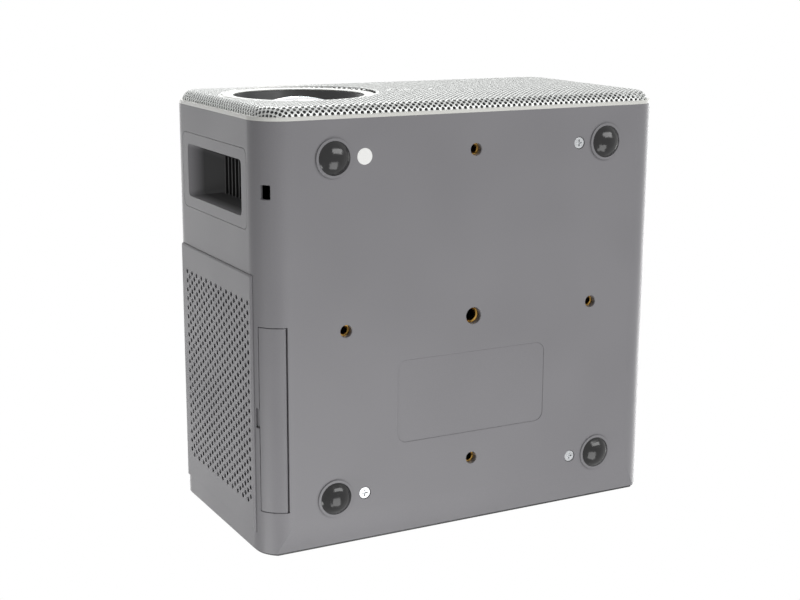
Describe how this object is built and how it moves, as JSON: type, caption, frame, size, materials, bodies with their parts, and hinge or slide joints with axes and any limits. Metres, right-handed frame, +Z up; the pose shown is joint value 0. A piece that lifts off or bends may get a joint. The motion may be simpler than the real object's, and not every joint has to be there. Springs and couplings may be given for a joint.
{
  "type": "mini projector",
  "caption": "Compact boxy video projector with an offset round lens in a mesh front, side grilles, an air outlet, a filter door in one lower corner and round feet.",
  "frame": {"origin": "middle of the bounding box's base, on the surface the feet stand on", "axes": "+Z up; the lens and mesh front face -Y; +X is the side away from the lens, to the right as seen from the front"},
  "size_m": [0.2318, 0.2228, 0.1264],
  "materials": {
    "housing_plastic": "fine spark-eroded texture",
    "frame_plastic": "satin moulded",
    "front_sheet": "pressed, perforated and powder coated",
    "trim_metal": "bead blasted",
    "black_plastic": "moulded, matt",
    "rotor_plastic": "moulded",
    "dark_window": "polished",
    "coated_glass": "polished and coated",
    "clear_acrylic": "finely grooved",
    "panel_glass": "polished",
    "mirror_glass": "front-coated",
    "foot_rubber": "smooth",
    "filter_plastic": "moulded",
    "foam": "open-cell",
    "zinc_steel": "zinc plated",
    "brass": "turned",
    "seal_paper": "matt film",
    "tray_steel": "galvanized sheet",
    "heatsink_metal": "extruded",
    "lamp_board": "white solder mask",
    "motor_steel": "drawn",
    "key_plastic": "moulded",
    "circuit_board": "solder mask",
    "speaker_steel": "stamped",
    "cone_paper": "pressed fibre",
    "magnet": "sintered ferrite"
  },
  "bodies": {
    "case": {"lower_housing": "housing_plastic", "top_cover": "housing_plastic", "front_frame": "frame_plastic", "front_mesh": "front_sheet", "lens_trim_ring": "trim_metal", "lens_shade": "black_plastic", "autofocus_window": "dark_window", "ranging_window": "dark_window", "rear_panel": "black_plastic", "infrared_window": "dark_window", "exhaust_outlet": "housing_plastic", "intake_grille": "housing_plastic", "side_outlet_grille": "housing_plastic", "door_hinge_pins": "zinc_steel", "rubber_feet": "foot_rubber", "case_screws": "zinc_steel", "seal_sticker": "seal_paper", "tripod_insert": "brass", "ceiling_inserts": "brass", "chassis_tray": "tray_steel", "intake_fan_frame": "black_plastic", "outlet_fan_frame": "black_plastic", "blower_case": "black_plastic", "light_engine_case": "black_plastic", "engine_cover": "black_plastic", "fresnel_lenses": "clear_acrylic", "lcd_panel": "panel_glass", "heat_glass": "coated_glass", "fold_mirror": "mirror_glass", "condenser_lens": "coated_glass", "led_module": "lamp_board", "led_heatsink": "heatsink_metal", "lens_guide_tube": "black_plastic", "focus_motor": "motor_steel", "key_board": "circuit_board", "main_board": "circuit_board", "power_supply_board": "circuit_board", "board_standoffs": "brass", "hdmi_ports": "zinc_steel", "usb_ports": "zinc_steel", "audio_jacks": "black_plastic", "ac_inlet": "black_plastic", "speaker_frames": "speaker_steel", "speaker_cones": "cone_paper", "speaker_magnets": "magnet"},
    "door": {"filter_door": "housing_plastic"},
    "filter": {"filter_frame": "filter_plastic", "filter_foam": "foam"},
    "barrel": {"focus_barrel": "black_plastic", "front_lens": "coated_glass", "rear_lens": "coated_glass"},
    "screw": {"focus_screw": "zinc_steel"},
    "blower": {"blower_wheel": "rotor_plastic"},
    "intake_rotor": {"intake_fan_rotor": "rotor_plastic"},
    "outlet_rotor": {"outlet_fan_rotor": "rotor_plastic"},
    "power": {"power_key": "key_plastic"},
    "source": {"source_key": "key_plastic"},
    "minus": {"minus_key": "key_plastic"},
    "plus": {"plus_key": "key_plastic"}
  },
  "joints": [
    {"name": "filter_slide", "type": "slide", "parent": "case", "child": "filter", "axis": [0, 0, -1], "range_m": [0, 0.0144]},
    {"name": "door_swing", "type": "hinge", "parent": "case", "child": "door", "pos_m": [-0.10371, 0.0418, 0.00652], "axis": [0, -1, 0], "range_deg": [0, 110]},
    {"name": "focus_slide", "type": "slide", "parent": "case", "child": "barrel", "axis": [0, -1, 0], "range_m": [-0.003, 0.002]},
    {"name": "focus_screw_turn", "type": "hinge", "parent": "case", "child": "screw", "pos_m": [-0.02965, -0.075, 0.06525], "axis": [0, -1, 0], "range_deg": [-361, 541]},
    {"name": "blower_spin", "type": "hinge", "parent": "case", "child": "blower", "pos_m": [-0.066, -0.058, 0.022], "axis": [0, 0, 1], "continuous": true},
    {"name": "intake_fan_spin", "type": "hinge", "parent": "case", "child": "intake_rotor", "pos_m": [-0.0965, 0.071, 0.06525], "axis": [1, 0, 0], "continuous": true},
    {"name": "outlet_fan_spin", "type": "hinge", "parent": "case", "child": "outlet_rotor", "pos_m": [0.0935, 0.02, 0.06525], "axis": [1, 0, 0], "continuous": true},
    {"name": "power_press", "type": "slide", "parent": "case", "child": "power", "axis": [0, 0, -1], "range_m": [0, 0.0008], "stiffness_N_per_m": 600},
    {"name": "source_press", "type": "slide", "parent": "case", "child": "source", "axis": [0, 0, -1], "range_m": [0, 0.0008], "stiffness_N_per_m": 600},
    {"name": "minus_press", "type": "slide", "parent": "case", "child": "minus", "axis": [0, 0, -1], "range_m": [0, 0.0008], "stiffness_N_per_m": 600},
    {"name": "plus_press", "type": "slide", "parent": "case", "child": "plus", "axis": [0, 0, -1], "range_m": [0, 0.0008], "stiffness_N_per_m": 600}
  ],
  "couplings": [
    {"joint": "door_swing", "follows": "filter_slide", "rad_per_m": 133.3},
    {"joint": "focus_screw_turn", "follows": "focus_slide", "rad_per_m": -3141.6}
  ]
}
